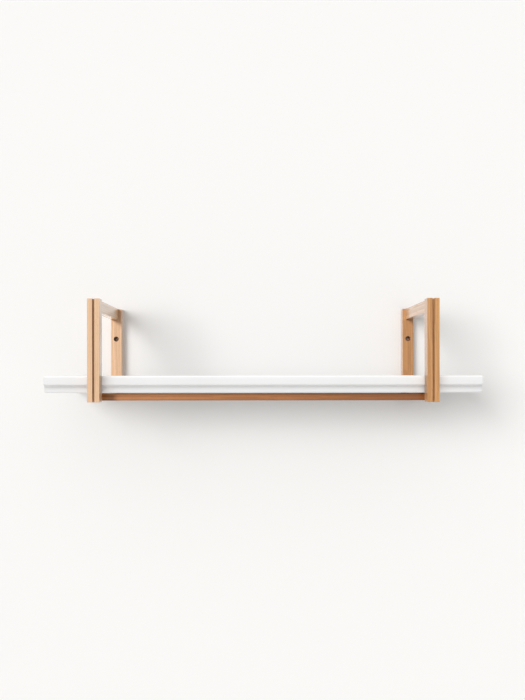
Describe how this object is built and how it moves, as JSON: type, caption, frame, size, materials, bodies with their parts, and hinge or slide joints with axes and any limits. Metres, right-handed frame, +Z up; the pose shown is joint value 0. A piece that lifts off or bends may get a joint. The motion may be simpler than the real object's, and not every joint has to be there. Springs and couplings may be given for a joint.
{
  "type": "wall rack",
  "caption": "Wall rack with grooved wooden side frames, a long white folded-steel shelf that runs through them and overhangs each side, and a wooden cross rail under it.",
  "frame": {"origin": "on the wall plane, midway between the wall hole of the left frame and the wall hole of the right frame", "axes": "+X to the right along the shelf, +Y into the wall, +Z up; the rack stands out from the wall along -Y"},
  "size_m": [0.731, 0.25, 0.17],
  "materials": {
    "oiled_wood": "light oiled hardwood, straight fine grain, satin",
    "dowel_wood": "plain beech, unfinished",
    "white_steel": "white powder coat, smooth satin",
    "white_plastic": "white moulded plastic, matte",
    "plated_steel": "bright zinc plate"
  },
  "bodies": {
    "root": {"left_front_post": "oiled_wood", "left_rear_post": "oiled_wood", "left_top_beam": "oiled_wood", "left_bottom_beam": "oiled_wood", "left_frame_dowels": "dowel_wood", "right_front_post": "oiled_wood", "right_rear_post": "oiled_wood", "right_top_beam": "oiled_wood", "right_bottom_beam": "oiled_wood", "right_frame_dowels": "dowel_wood", "cross_rail": "oiled_wood", "rail_dowels": "dowel_wood", "rail_screws": "plated_steel", "shelf_panel": "white_steel", "left_end_cap": "white_plastic", "right_end_cap": "white_plastic", "left_shelf_channel": "white_steel", "right_shelf_channel": "white_steel", "shelf_screws": "plated_steel", "rivet_nuts": "plated_steel"}
  },
  "joints": []
}
